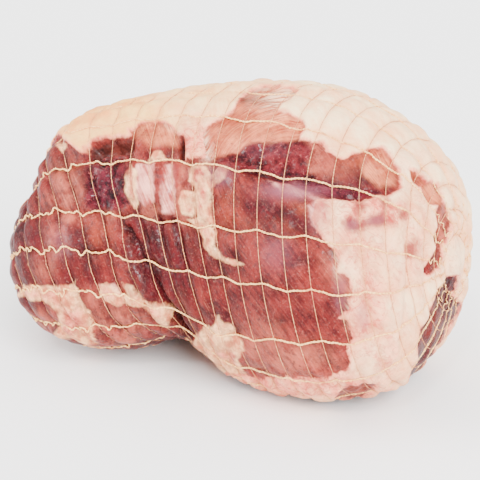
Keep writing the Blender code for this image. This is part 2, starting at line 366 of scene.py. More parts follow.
MEMBRANES = (
    ((136, 165), (153, 163), (153, 203), (143, 205), (136, 195)),
    ((268, 180), (285, 183), (300, 187), (314, 193), (317, 199), (300, 196), (280, 190)),
    ((308, 206), (318, 200), (334, 202), (335, 222), (339, 246), (324, 240), (313, 224)),
    ((162, 168), (169, 164), (175, 168), (174, 192), (172, 212), (162, 214)),
    ((98, 286), (112, 284), (117, 296), (104, 300)),
)
WARM_MUSCLES = (
    ((206, 157), (204, 140), (206, 131), (213, 124), (222, 117), (233, 111), (238, 103),
     (245, 97), (262, 86), (275, 84), (300, 88), (292, 98), (282, 108), (288, 115),
     (300, 119), (304, 126), (299, 139), (283, 142), (268, 141), (250, 144), (238, 153)),
    ((129, 130), (135, 126), (145, 122), (155, 122), (165, 123), (173, 128), (178, 134),
     (177, 145), (166, 143), (153, 145), (144, 142), (136, 136)),
    ((360, 156), (370, 149), (381, 150), (393, 160), (398, 172), (396, 184), (380, 186),
     (366, 176)),
    ((409, 170), (417, 173), (425, 183), (420, 187), (412, 178)),
    ((421, 186), (428, 183), (437, 184), (441, 194), (440, 206), (431, 203), (424, 196)),
    ((339, 274), (346, 276), (350, 283), (352, 296), (345, 298)),
)
STAINS = (
    ((344, 223), (350, 217), (358, 222), (366, 222), (372, 215), (381, 215), (383, 221),
     (374, 227), (366, 226), (358, 231), (348, 231)),
    ((355, 204), (361, 201), (364, 208), (360, 214), (354, 211)),
    ((379, 201), (385, 200), (386, 206), (381, 208)),
    ((398, 211), (404, 212), (403, 219), (398, 217)),
    ((408, 245), (414, 243), (412, 256), (408, 258)),
)
BLOOD_SPOTS = (
    ((124, 171), (134, 163), (132, 173), (126, 176)),
    ((170, 162), (180, 163), (178, 186), (173, 190), (171, 174)),
    ((159, 170), (164, 166), (165, 184), (162, 196)),
)
EDGE_LIMIT = 14.0


def nearest_on(starts, ends, places):
    """Distance in pixels of places from the nearest of some straight runs."""
    nearest = np.full(len(places), np.inf)
    for start, end in zip(starts, ends):
        run = end - start
        share = np.clip(((places - start) @ run) / (run @ run), 0.0, 1.0)
        away = places - start - share[:, None] * run
        nearest = np.minimum(nearest, (away ** 2).sum(axis=1))
    return np.sqrt(nearest)


def beside(route, places):
    """Distance in pixels of places from an open route."""
    corners = np.array(route, dtype=float)
    return nearest_on(corners[:-1], corners[1:], places)


def inside_by(outline, places):
    """How far pixel places lie inside a closed outline; negative outside."""
    starts = np.array(outline, dtype=float)
    ends = np.roll(starts, -1, axis=0)
    inside = np.zeros(len(places), dtype=bool)
    for start, end in zip(starts, ends):
        run = end - start
        spans = (start[1] > places[:, 1]) != (end[1] > places[:, 1])
        if run[1] != 0.0:
            crossing = start[0] + (places[:, 1] - start[1]) / run[1] * run[0]
            inside ^= spans & (places[:, 0] < crossing)
    return np.where(inside, 1.0, -1.0) * nearest_on(starts, ends, places)


def covered(outlines, places):
    """How far places lie inside any of the outlines."""
    deepest = np.full(len(places), -EDGE_LIMIT)
    for outline in outlines:
        corners = np.array(outline)
        low = corners.min(axis=0) - EDGE_LIMIT
        high = corners.max(axis=0) + EDGE_LIMIT
        near = ((places > low) & (places < high)).all(axis=1)
        deepest[near] = np.maximum(deepest[near], inside_by(outline, places[near]))
    return np.clip(deepest, -EDGE_LIMIT, EDGE_LIMIT)


SWELL_WAVES = 9
SWELL_SIZES = (0.75, 1.6)
SWELL_EVENING = 3.6


def unit(vectors):
    """Vectors made one long."""
    return vectors / np.linalg.norm(vectors, axis=-1, keepdims=True)


def swell(points, size_mm, seed):
    """Smooth lumps over points in metres, from about -1 to 1."""
    draw = np.random.default_rng(seed)
    total = np.zeros(points.shape[:-1])
    for _ in range(SWELL_WAVES):
        direction = unit(draw.normal(size=3))
        wave = 2 * np.pi * 1000.0 / (size_mm * draw.uniform(*SWELL_SIZES))
        total += np.sin(points @ direction * wave + draw.uniform(0.0, 6.28))
    return total / SWELL_EVENING


def smooth_step(value, low, high):
    """0 below low, 1 above high, eased in between."""
    share = np.clip((value - low) / (high - low), 0.0, 1.0)
    return share * share * (3.0 - 2.0 * share)


def front_or_rest(seen, hidden):
    """One value on the side that the lens sees, and another on the rest of the roast."""
    return shown * seen + (1.0 - shown) * hidden


TURNED_AWAY = -0.12
TURNED_TO = 0.03
normals = unit(np.cross(around_step, along_step))
normals *= np.sign((normals * grid_out).sum(axis=-1))[..., None]
to_eye = unit(np.array(eye) - skin_points)
shown = smooth_step((normals * to_eye).sum(axis=-1), TURNED_AWAY, TURNED_TO)
places = picture_place(skin_points.reshape(-1, 3))
grid_shape = station_grid.shape

# The rule for the sides that the lens doesn't see: the cap wraps over the top and down the
# back, and the lean underneath has islands of fat.
CAP_FRONT_EDGE = 62.0
CAP_BACK_EDGE = 232.0
CAP_WAVES = ((8.0, 60.0, 11), (4.0, 24.0, 12))
CAP_STARTS = (4.0, 20.0)
PIXELS_PER_DEGREE = 2.4
SLIMMEST = 0.3
ISLAND_SIZE_MM = 34.0
ISLAND_LEVEL = 0.45
ISLAND_SLOPE = 22.0
DARK_ISLAND_SIZE_MM = 30.0
DARK_ISLAND_DROP = 16.0
DARK_ISLAND_MOST = 4.0


def lumpy(waves):
    """Sum of swells, each with its strength, its size in millimetres and its seed."""
    return sum(strength * swell(skin_points, size_mm, seed) for strength, size_mm, seed in waves)


slimness = np.maximum(np.sin(np.radians(station_grid)), SLIMMEST)
cap_wave = lumpy(CAP_WAVES) / slimness
from_front = angle_grid + cap_wave - CAP_FRONT_EDGE
from_back = CAP_BACK_EDGE + cap_wave - angle_grid
cap_rule = np.minimum(from_front, from_back) * PIXELS_PER_DEGREE
cap_rule *= smooth_step(station_grid, *CAP_STARTS)
cap_rule = np.clip(cap_rule, -EDGE_LIMIT, EDGE_LIMIT)

fat_seen = np.minimum(covered((FAT_CAP,), places), -covered(LEAN_WINDOWS, places))
masks = {"fat": front_or_rest(fat_seen.reshape(grid_shape), cap_rule)}
OUTLINES = {
    "patch": FAT_PATCHES,
    "hollow": SHADED_HOLLOWS,
    "clotted": CLOTTED,
    "membrane": MEMBRANES,
    "warm": WARM_MUSCLES,
    "blood": BLOOD_SPOTS,
    "stain": STAINS,
}
for name, outlines in OUTLINES.items():
    hidden = -EDGE_LIMIT
    if name in ("clotted", "membrane"):
        lumps = swell(skin_points, DARK_ISLAND_SIZE_MM, 20 + len(name))
        hidden = lumps * ISLAND_SLOPE - DARK_ISLAND_DROP
        hidden = np.clip(hidden, -EDGE_LIMIT, DARK_ISLAND_MOST)
    elif name == "patch":
        hidden = (swell(skin_points, ISLAND_SIZE_MM, 5) - ISLAND_LEVEL) * ISLAND_SLOPE
        hidden = np.clip(hidden, -EDGE_LIMIT, EDGE_LIMIT)
    masks[name] = front_or_rest(covered(outlines, places).reshape(grid_shape), hidden)

# Soft changes of tone: place, half width and half height in pixels, and strength.
TONES = {
    # Darker tissue in places, and painted shade along seams and creases, in recesses and over the
    # right end.
    "deep": (
        (104, 186, 20, 22, 0.85), (60, 262, 44, 26, 0.6), (24, 250, 16, 50, 0.8),
        (150, 262, 20, 50, 0.5), (205, 240, 14, 30, 0.5), (348, 178, 30, 12, 0.85),
        (330, 164, 18, 10, 0.4), (90, 300, 50, 16, 0.25), (268, 172, 22, 4, 0.7),
        (356, 392, 30, 10, 0.4), (340, 184, 40, 5, 0.9), (165, 262, 34, 44, 0.9),
        (150, 225, 26, 16, 0.8), (76, 241, 12, 13, 0.9), (30, 215, 14, 40, 0.6),
        (18, 262, 10, 24, 0.6), (212, 262, 22, 26, 0.6), (230, 300, 26, 30, 0.4),
        (345, 190, 32, 6, 0.9), (180, 300, 12, 26, 0.8), (146, 343, 26, 5, 0.9),
        (222, 228, 16, 8, 0.5), (60, 165, 16, 10, 0.6), (225, 370, 18, 5, 0.7),
        (420, 362, 22, 20, 1.0), (450, 300, 16, 30, 1.0), (440, 228, 9, 30, 0.7),
        (218, 176, 10, 9, 0.6), (437, 332, 16, 22, 1.0), (188, 325, 10, 10, 0.7),
        (266, 246, 36, 16, 0.3), (322, 236, 14, 14, 0.3), (296, 306, 34, 18, 0.5),
        (322, 300, 16, 30, 0.4), (240, 270, 18, 10, 0.5), (112, 262, 12, 26, 0.45),
        (84, 278, 14, 6, 0.6),
    ),
    # Paler tissue in places, and painted highlights on the lobe and at the right of the cavity.
    "pale": (
        (312, 156, 10, 12, 0.8), (64, 190, 13, 18, 0.7), (115, 322, 22, 10, 0.8),
        (120, 340, 14, 6, 0.8), (58, 243, 8, 14, 0.7), (68, 218, 9, 4, 0.7),
        (107, 213, 6, 5, 0.8), (182, 190, 10, 26, 0.7), (296, 362, 30, 13, 0.7),
        (262, 345, 18, 16, 0.55), (148, 211, 9, 6, 0.6), (335, 166, 16, 9, 0.5),
        (44, 320, 10, 10, 0.5), (44, 268, 10, 10, 0.4), (95, 300, 12, 8, 0.4),
        (330, 262, 8, 14, 0.3), (446, 226, 8, 22, 0.8), (312, 160, 12, 14, 0.7),
    ),
    "veil": (
        (284, 98, 20, 9, 0.8), (271, 91, 14, 4, 0.4), (176, 124, 8, 5, 0.5),
        (206, 150, 4, 14, 0.5), (338, 262, 3, 14, 0.5), (351, 312, 4, 12, 0.4),
    ),
    "pink": (
        (364, 213, 26, 18, 1.0), (392, 214, 18, 12, 1.0), (370, 300, 14, 44, 0.9),
        (386, 352, 14, 24, 0.7), (412, 250, 10, 30, 0.7), (358, 245, 26, 26, 0.7),
        (356, 330, 14, 48, 0.8), (195, 143, 13, 20, 1.0), (322, 215, 13, 24, 0.9),
        (376, 205, 16, 10, 0.7), (394, 216, 14, 14, 0.5), (385, 320, 24, 60, 0.45),
        (300, 384, 90, 12, 1.0), (352, 220, 12, 14, 0.8), (420, 230, 9, 60, 0.5),
        (395, 270, 14, 30, 0.5), (330, 388, 40, 8, 1.0), (452, 270, 10, 60, 0.4),
        (402, 182, 8, 26, 0.4), (316, 150, 18, 6, 0.4),
    ),
    "wash": (
        (363, 316, 6, 11, 0.5), (375, 221, 9, 4, 0.5), (294, 190, 24, 7, 0.8),
        (319, 214, 8, 14, 0.35), (277, 254, 12, 14, 0.3), (352, 225, 6, 5, 0.6),
        (262, 148, 22, 6, 0.2), (342, 292, 5, 14, 0.5), (60, 242, 8, 12, 0.3),
        (219, 175, 9, 8, 0.6),
    ),
    "rust": (
        (208, 136, 6, 16, 0.8), (226, 117, 20, 8, 0.8), (250, 98, 20, 8, 0.8),
        (288, 92, 14, 3, 0.6), (432, 194, 8, 9, 0.2), (256, 132, 30, 6, 0.4),
        (150, 138, 18, 8, 0.4), (356, 391, 30, 8, 0.8), (437, 332, 14, 22, 0.2),
        (352, 158, 16, 8, 0.6), (398, 176, 8, 10, 0.5), (347, 285, 5, 14, 0.8),
        (297, 216, 16, 14, 0.9), (236, 208, 26, 16, 0.35), (346, 160, 14, 8, 0.5),
        (416, 179, 8, 9, 0.8), (66, 168, 10, 8, 0.5), (134, 130, 6, 6, 0.6),
        (100, 230, 12, 16, 0.4), (170, 315, 12, 16, 0.3),
    ),
    "yellow": (
        (110, 120, 60, 34, 1.0), (180, 95, 60, 20, 0.5), (82, 146, 10, 8, 1.0),
    ),
    "shine": (
        (262, 158, 40, 14, 1.0), (104, 184, 20, 26, 1.0), (110, 147, 26, 6, 0.9),
        (150, 285, 22, 50, 0.8), (62, 240, 12, 16, 0.9), (166, 192, 8, 28, 0.9),
        (76, 240, 12, 14, 0.9), (186, 250, 30, 34, 0.5), (345, 180, 30, 10, 0.7),
        (295, 218, 14, 12, 0.8),
    ),
}
SPOT_CORE = 1.35
SPOT_FADE = 0.7


def toned(spots, places):
    """Strongest of the soft spots at each pixel place, from 0 to 1."""
    tone = np.zeros(len(places))
    for column, row, half_wide, half_tall, amount in spots:
        away = (((places[:, 0] - column) / half_wide) ** 2
                + ((places[:, 1] - row) / half_tall) ** 2)
        tone = np.maximum(tone, amount * np.minimum(SPOT_CORE * np.exp(-SPOT_FADE * away), 1.0))
    return tone.reshape(grid_shape)


# The same tones on the rest of the roast: strength, size of the lumps in millimetres, and seed.
HIDDEN_TONES = {"deep": (0.6, 55.0, 31), "pale": (0.5, 45.0, 32), "pink": (0.6, 50.0, 33),
                "rust": (0.4, 40.0, 34), "shine": (0.6, 35.0, 35)}
for name, spots in TONES.items():
    masks[name] = shown * toned(spots, places)
    if name in HIDDEN_TONES:
        amount, size_mm, seed = HIDDEN_TONES[name]
        lumps = smooth_step(swell(skin_points, size_mm, seed), 0.0, 1.0)
        masks[name] += (1.0 - shown) * amount * lumps

# The run of the muscle fibres, as a distance across them in pixels of the picture: slanted
# over the lobe and the leg, and in arcs over the round muscle at the top.
FIBRE_MEET = (220.0, 260.0)
LOBE_RUN = (0.94, -0.34)
LEG_RUN = (0.80, -0.60)
ARC_CENTRE = (292.0, 192.0)
LEG_STARTS = (195.0, 250.0)
DOME_EDGE = (-6.0, -1.0)
PLAIN_RUN = (0.8, 0.3, -0.6)
PIXELS_PER_METRE = 1750.0
off_meet = places - np.array(FIBRE_MEET)
to_leg = smooth_step(places[:, 0], *LEG_STARTS)
lobe_run = off_meet @ np.array(LOBE_RUN)
leg_run = off_meet @ np.array(LEG_RUN)
straight_run = (1.0 - to_leg) * lobe_run + to_leg * leg_run
arc_run = np.linalg.norm(places - np.array(ARC_CENTRE), axis=1)
on_dome = smooth_step(covered(WARM_MUSCLES[:1], places), *DOME_EDGE)
seen_run = (1.0 - on_dome) * straight_run + on_dome * arc_run
plain_run = skin_points @ np.array(PLAIN_RUN) * PIXELS_PER_METRE
masks["fibre"] = front_or_rest(seen_run.reshape(grid_shape), plain_run)

# Relief of the meat
# Besides the pillows that the net presses up, there are folds and creases, the step at the
# edge of each fat, and the hollows where muscles part. Each fold is a route in picture
# pixels, its half width there and its height in millimetres.
FOLDS = {
    "crease": (((127, 229), (134, 243), (139, 258), (145, 272), (154, 285), (163, 299),
                (172, 312), (180, 326), (188, 338)), 3.4, -6.5),
    "crease_lip": (((122, 236), (128, 252), (134, 270), (143, 285), (153, 300), (163, 316)),
                   8.0, 3.0),
    "fold_one": (((157, 216), (161, 232), (165, 250), (170, 266)), 2.2, -1.6),
    "fold_two": (((171, 217), (176, 235), (180, 252), (186, 270)), 2.2, -1.8),
    "fold_three": (((141, 220), (147, 240), (152, 262), (160, 285)), 2.4, -1.1),
    "front_seam": (((240, 166), (262, 173), (289, 180), (313, 188), (340, 197), (362, 200)),
                   3.0, -2.6),
    "strand": (((198, 170), (203, 185), (203, 205), (209, 222)), 6.0, 1.8),
    "tendon": (((166, 184), (166, 212)), 6.0, 1.3),
    "membrane": (((146, 168), (147, 200)), 9.0, 1.0),
    "knob": (((220, 172), (221, 178)), 6.0, 1.4),
    "vessel": (((352, 222), (354, 225)), 4.0, -2.2),
    "knob_right": (((376, 199), (380, 208)), 7.0, 2.6),
    "cap_tip": (((66, 138), (76, 146), (84, 152)), 6.0, 1.8),
    "end_edge": (((419, 255), (420, 300), (414, 350), (405, 378)), 7.0, 1.4),
    "fan_ridge": (((214, 330), (222, 350)), 5.0, 1.0),
    "fan_seam": (((226, 330), (232, 345), (228, 362)), 2.4, -1.2),
    "window_lip": (((325, 154), (344, 163), (364, 156), (380, 152)), 4.0, 1.0),
    "lump_orange": (((404, 206), (410, 212)), 7.0, 2.0),
    "lump_low": (((392, 262), (396, 280)), 9.0, 1.2),
    "fat_furrow": (((404, 232), (408, 262), (406, 300), (400, 350)), 2.6, -1.8),
    "end_furrow": (((427, 246), (424, 280), (425, 310)), 2.4, -2.0),
    "lean_dip": (((250, 205), (285, 212), (305, 226)), 12.0, -0.9),
}
MM = 0.001
GROOVE_LEAN = 1.0
GROOVE_FAT = 0.8
HOOP_GROOVE = 1.4
CORD_GROOVE = 1.5
PILLOW_LEAN = 1.8
PILLOW_FAT = 1.15
PILLOW_MIDDLE = 0.45
PILLOW_ROUND_ALONG = 0.8
PILLOW_ROUND_AROUND = 0.4
FATNESS_EDGE = (-2.0, 3.0)
RIBBED_UNTIL = (200.0, 250.0)
RIBS_LOST = 0.65
RIBBED_REST = 0.7
FURROW_WIDE = 2.6
FURROW_SHADE = 1.1
FURROW_LEAST = 0.2
CREASE_SHADE_MORE = 1.0
LEAN_UNDER = 0.9
# Step at the edge of a tissue: its height in millimetres, and where it starts and ends, in
# pixels inside the outline.
STEPS = {
    "fat": (1.8, -1.5, 2.5),
    "patch": (0.8, -2.0, 3.0),
    "hollow": (-9.0, -2.0, 5.0),
    "clotted": (-1.8, -3.0, 8.0),
}
CLOT_EDGE = (-2.0, 4.0)
MEAT_LUMPS = ((0.45, 15.0, 3), (0.18, 6.0, 4))
CLOT_LUMPS = ((1.0, 7.0, 6),)
PINK_LUMPS = ((0.8, 9.0, 9), (0.3, 4.0, 10))
STRING_DIP = -0.6

groove = np.maximum(bell(hoop_away, HOOP_GROOVE), bell(cord_away, CORD_GROOVE))
masks["groove"] = groove
pillow = np.abs(np.sin(np.pi * hoop_count)) ** PILLOW_ROUND_ALONG
pillow *= np.abs(np.sin(np.pi * cord_count)) ** PILLOW_ROUND_AROUND
pillow = np.where(in_net, pillow, 0.5) - PILLOW_MIDDLE
fatness = smooth_step(masks["fat"], *FATNESS_EDGE)
ribbed = 1.0 - RIBS_LOST * smooth_step(places[:, 0], *RIBBED_UNTIL)
ribbed = front_or_rest(ribbed.reshape(grid_shape), RIBBED_REST)
ribbed_lean = ribbed * (1.0 - fatness)
height = (PILLOW_LEAN * ribbed_lean + PILLOW_FAT * fatness) * pillow
height -= (GROOVE_LEAN * ribbed_lean + GROOVE_FAT * fatness) * groove
# Painted shade in the furrows along the hoops, strongest over the ribbed lean.
masks["furrow"] = FURROW_SHADE * (ribbed - FURROW_LEAST) * bell(hoop_away, FURROW_WIDE)
folded = np.zeros(grid_shape)
# Painted shade along every sunken fold, spread a little wider than the fold.
crease_shade = np.zeros(grid_shape)
for route, half_width, tall in FOLDS.values():
    away = beside(route, places).reshape(grid_shape)
    folded += tall * bell(away, half_width)
    if tall < 0.0:
        crease_shade = np.maximum(crease_shade, bell(away, half_width + CREASE_SHADE_MORE))
masks["crease"] = crease_shade * shown
folded = folded * shown - LEAN_UNDER
for name, (tall, low, high) in STEPS.items():
    folded += tall * smooth_step(masks[name], low, high)
folded += lumpy(MEAT_LUMPS)
folded += lumpy(CLOT_LUMPS) * smooth_step(masks["clotted"], *CLOT_EDGE)
folded += lumpy(PINK_LUMPS) * masks["pink"]

string_reach = reach_grid + (height + np.maximum(folded, STRING_DIP)) * MM
surface_reach = reach_grid + (height + folded) * MM
meat_points = grid_start + surface_reach[..., None] * grid_out
meat_points[..., 2] = np.maximum(meat_points[..., 2], 0.0)


def skin_mesh(name, points, ends):
    """Closed mesh over the grid of points, with a pole at each end."""
    rows, columns = points.shape[:2]
    corners = [tuple(point) for point in points.reshape(-1, 3)]
    faces = []
    for row in range(rows - 1):
        first = row * columns
        for column in range(columns):
            following = (column + 1) % columns
            faces.append((first + column, first + following,
                          first + columns + following, first + columns + column))
    for end, row in zip(ends, (0, rows - 1)):
        pole = len(corners)
        corners.append(tuple(end))
        for column in range(columns):
            edge = (row * columns + column, row * columns + (column + 1) % columns)
            faces.append((edge[1], edge[0], pole) if row == 0 else (edge[0], edge[1], pole))
    mesh = bpy.data.meshes.new(name)
    mesh.from_pydata(corners, [], faces)
    mesh.shade_smooth()
    return mesh


ends = [meat_points[0].mean(axis=0), meat_points[-1].mean(axis=0)]
meat_mesh = skin_mesh("meat", meat_points, ends)
for name, mask in masks.items():
    layer = meat_mesh.attributes.new(name, "FLOAT", "POINT")
    values = np.append(mask.ravel(), (mask[0].mean(), mask[-1].mean()))
    layer.data.foreach_set("value", values.astype(np.float32))
meat = add_object("meat", meat_mesh)

# Looks of the meat
# Raw cured pork: moist red muscle with fine grain and pale marbling, firm cream fat, silver
# membrane and dark clotted hollows, all under a thin wet film.


def seen_colour(red, green, blue):
    """Linear colour of an sRGB colour from 0 to 255."""
    def linear(value):
        value /= 255.0
        return value / 12.92 if value <= 0.04045 else ((value + 0.055) / 1.055) ** 2.4
    return (linear(red), linear(green), linear(blue), 1.0)


def connect(tree, node, sockets):
    """Link a node's inputs or set their values, by name (or number, as _0)."""
    for key, value in sockets.items():
        socket = node.inputs[int(key[1:])] if key[1:].isdigit() else node.inputs[key]
        if isinstance(value, bpy.types.NodeSocket):
            tree.links.new(value, socket)
        else:
            socket.default_value = value


def add_node(tree, kind, settings=None, **sockets):
    """Node with its settings and its connected inputs."""
    node = tree.nodes.new(kind)
    for key, value in (settings or {}).items():
        setattr(node, key, value)
    connect(tree, node, sockets)
    return node


def here(tree):
    """Place on the object."""
    return add_node(tree, "ShaderNodeTexCoord").outputs["Object"]


def worked_out(tree, operation, *values):
    """Result of a sum on numbers and masks."""
    sockets = {f"_{number}": value for number, value in enumerate(values)}
    return add_node(tree, "ShaderNodeMath", {"operation": operation}, **sockets).outputs[0]


def stepped(tree, value, low, high, start=0.0, end=1.0):
    """Start where a value is below low, end where it is above high, eased in between."""
    return add_node(tree, "ShaderNodeMapRange", {"interpolation_type": "SMOOTHSTEP"},
                    Value=value, _1=low, _2=high, _3=start, _4=end).outputs[0]


def colour_mix(tree, factor, under, over):
    """One colour laid over another by a mask."""
    return add_node(tree, "ShaderNodeMix", {"data_type": "RGBA"},
                    _0=factor, _6=under, _7=over).outputs[2]


def value_mix(tree, factor, under, over):
    """One number or another by a mask."""
    return add_node(tree, "ShaderNodeMix", None, _0=factor, _2=under, _3=over).outputs[0]


def noise(tree, place, scale, detail, roughness, distortion=0.0):
    """Even noise from 0 to 1."""
    return add_node(tree, "ShaderNodeTexNoise", Vector=place, Scale=scale, Detail=detail,
                    Roughness=roughness, Distortion=distortion).outputs["Fac"]


def streaky(tree, place, drift, across, roughness, distortion=0.0):
    """Noise that changes fast across the fibres and slowly along them."""
    drifted = add_node(tree, "ShaderNodeVectorMath", {"operation": "SCALE"},
                       _0=place, Scale=drift).outputs[0]
    return add_node(tree, "ShaderNodeTexNoise", {"noise_dimensions": "4D"}, Vector=drifted,
                    W=across, Scale=1.0, Detail=4.0, Roughness=roughness,
                    Distortion=distortion).outputs["Fac"]


def new_group(name, inputs, outputs):
    """Empty shader group with its sockets, the values given to it and its output node."""
    group = bpy.data.node_groups.new(name, "ShaderNodeTree")
    for label, kind, value in inputs:
        group.interface.new_socket(label, in_out="INPUT", socket_type=kind).default_value = value
    for label, kind in outputs:
        group.interface.new_socket(label, in_out="OUTPUT", socket_type=kind)
    given = group.nodes.new("NodeGroupInput").outputs
    return group, given, group.nodes.new("NodeGroupOutput")


def new_material(name):
    """Material with its node tree and its shader."""
    material = bpy.data.materials.new(name)
    material.use_nodes = True
    return material, material.node_tree, material.node_tree.nodes["Principled BSDF"]


FLOAT = "NodeSocketFloat"
COLOUR = "NodeSocketColor"

# Ragged edge: turns a distance inside an outline into a mask with an uneven edge.
ragged_edge, given, result = new_group(
    "ragged_edge",
    (("Distance", FLOAT, 0.0), ("Inset", FLOAT, 0.0), ("Softness", FLOAT, 1.0),
     ("Raggedness", FLOAT, 4.0), ("Scale", FLOAT, 300.0)),
    (("Mask", FLOAT),),
)
rags = noise(ragged_edge, here(ragged_edge), given["Scale"], 4.0, 0.6)
centred = worked_out(ragged_edge, "SUBTRACT", rags, 0.5)
within = worked_out(ragged_edge, "SUBTRACT", given["Distance"], given["Inset"])
shift = worked_out(ragged_edge, "MULTIPLY_ADD", centred, given["Raggedness"], within)
below = worked_out(ragged_edge, "MULTIPLY", given["Softness"], -1.0)
connect(ragged_edge, result, {"Mask": stepped(ragged_edge, shift, below, given["Softness"])})

# Tissue grain: two tones mixed by soft blotches and by streaks that follow the fibres.
tissue_grain, given, result = new_group(
    "tissue_grain",
    (("Light", COLOUR, (0.5, 0.5, 0.5, 1.0)), ("Dark", COLOUR, (0.2, 0.2, 0.2, 1.0)),
     ("Blotch Scale", FLOAT, 60.0), ("Fibre", FLOAT, 0.0), ("Fibre Scale", FLOAT, 0.5),
     ("Drift", FLOAT, 60.0), ("Streaks", FLOAT, 0.5), ("Spread", FLOAT, 0.14)),
    (("Color", COLOUR), ("Height", FLOAT)),
)
grain_at = here(tissue_grain)
blotches = noise(tissue_grain, grain_at, given["Blotch Scale"], 6.0, 0.65)
across = worked_out(tissue_grain, "MULTIPLY", given["Fibre"], given["Fibre Scale"])
streaks = streaky(tissue_grain, grain_at, given["Drift"], across, 0.6)
blend = value_mix(tissue_grain, given["Streaks"], blotches, streaks)
lowest = worked_out(tissue_grain, "SUBTRACT", 0.5, given["Spread"])
highest = worked_out(tissue_grain, "ADD", 0.5, given["Spread"])
spread = stepped(tissue_grain, blend, lowest, highest)
tone = colour_mix(tissue_grain, spread, given["Dark"], given["Light"])
connect(tissue_grain, result, {"Color": tone, "Height": blend})

# Each tissue: light and dark tone, scale of the blotches and of the fibres, drift along the
# fibres, share of the streaks, and how soft the tones part.
TISSUES = {
    "lean": ((134, 42, 35), (54, 6, 9), 75.0, 0.40, 75.0, 0.34, 0.13),
    # The dark tone serves both for darker muscle and for painted shade.
    "deep": ((70, 6, 15), (26, 1, 4), 95.0, 0.40, 75.0, 0.40, 0.13),
    "pale": ((186, 94, 72), (98, 32, 25), 85.0, 0.40, 75.0, 0.34, 0.13),
    "rust": ((156, 64, 40), (80, 22, 12), 110.0, 0.50, 75.0, 0.34, 0.13),
    "warm": ((222, 130, 88), (128, 42, 24), 95.0, 1.30, 60.0, 0.50, 0.16),
    "clot": ((116, 33, 38), (32, 2, 5), 150.0, 0.30, 160.0, 0.25, 0.13),
    "wet": ((94, 22, 38), (20, 1, 7), 150.0, 0.30, 160.0, 0.25, 0.13),
    "hollow": ((96, 40, 34), (12, 1, 1), 60.0, 0.30, 90.0, 0.15, 0.16),
    "silver": ((230, 158, 140), (140, 50, 44), 110.0, 0.30, 40.0, 0.60, 0.13),
    "fat": ((252, 222, 174), (240, 168, 118), 42.0, 0.16, 50.0, 0.30, 0.18),
    "cream": ((244, 188, 110), (226, 144, 78), 36.0, 0.16, 50.0, 0.30, 0.18),
    "pink": ((244, 150, 118), (166, 52, 44), 90.0, 0.30, 90.0, 0.35, 0.13),
    "smear": ((252, 196, 138), (200, 110, 74), 120.0, 0.36, 90.0, 0.30, 0.13),
}
# Each ragged edge: its mask, softness, raggedness and inset in pixels, and scale of the rags.
EDGES = {
    "fat": ("fat", 0.9, 3.0, 0.0, 330.0),
    "thick fat": ("fat", 1.8, 6.0, 1.4, 150.0),
    "patch": ("patch", 1.6, 7.0, 0.0, 200.0),
    "patch core": ("patch", 3.0, 9.0, 4.5, 120.0),
    "warm": ("warm", 4.5, 8.0, 0.0, 120.0),
    "clotted": ("clotted", 3.0, 10.0, 0.0, 160.0),
    "membrane": ("membrane", 2.5, 9.0, 0.0, 150.0),
    "hollow": ("hollow", 2.0, 5.0, 0.0, 170.0),
    "blood": ("blood", 2.5, 7.0, 0.0, 260.0),
    "stain": ("stain", 4.5, 12.0, -1.5, 200.0),
}
# Each kind of spots: scale, detail, roughness and distortion of its noise, the two levels
# that the spots lie between, and the most that they cover.
SPOTS = {
    "furrow": (120.0, 4.0, 0.60, 0.0, 0.35, 0.60, 1.0),
    "shred": (150.0, 5.0, 0.70, 1.0, 0.56, 0.72, 0.40),
    "pit": (330.0, 3.0, 0.60, 0.0, 0.60, 0.70, 0.55),
    "painted_gleam": (820.0, 3.0, 0.65, 0.0, 0.55, 0.72, 0.15),
    "thick smear": (180.0, 5.0, 0.70, 0.0, 0.40, 0.60, 1.0),
    "pink smear": (60.0, 4.0, 0.60, 0.0, 0.45, 0.60, 1.0),
    "mottle": (110.0, 5.0, 0.65, 0.6, 0.40, 0.60, 1.0),
    "glint": (330.0, 4.0, 0.70, 0.0, 0.48, 0.64, 1.0),
}
MARBLE_COLOUR = seen_colour(192, 116, 92)
FILM_COLOUR = seen_colour(154, 80, 76)
PIT_COLOUR = seen_colour(34, 3, 4)
BLOOD_COLOUR = seen_colour(122, 28, 26)
VEIN_COLOUR = seen_colour(184, 58, 50)
GROOVE_SHADE_COLOUR = seen_colour(216, 136, 84)
PURPLE_WASH = seen_colour(122, 66, 78)
STAIN_COLOUR = seen_colour(118, 22, 28)
FLECK_COLOUR = seen_colour(186, 92, 86)
VEIL_COLOUR = seen_colour(250, 206, 166)
PAINTED_GLEAM_COLOUR = seen_colour(208, 132, 116)

meat_material, meat_tree, meat_shader = new_material("meat")
mixed = partial(colour_mix, meat_tree)
mixed_value = partial(value_mix, meat_tree)
times = partial(worked_out, meat_tree, "MULTIPLY")
plus_share = partial(worked_out, meat_tree, "MULTIPLY_ADD")
threshold = partial(stepped, meat_tree)
meat_at = here(meat_tree)
cloudy = partial(noise, meat_tree, meat_at)
painted = {}
for name in masks:
    attribute = add_node(meat_tree, "ShaderNodeAttribute", {"attribute_name": name})
    painted[name] = attribute.outputs["Fac"]


def edged(name, raggedness=None):
    """Ragged mask of a tissue."""
    mask, softness, usual, inset, scale = EDGES[name]
    edge = add_node(meat_tree, "ShaderNodeGroup", {"node_tree": ragged_edge},
                    Distance=painted[mask], Inset=inset, Softness=softness,
                    Raggedness=usual if raggedness is None else raggedness, Scale=scale)
    return edge.outputs["Mask"]


def spotted(name):
    """Mask of one kind of spots."""
    *kind, low, high, most = SPOTS[name]
    return threshold(cloudy(*kind), low, high, 0.0, most)


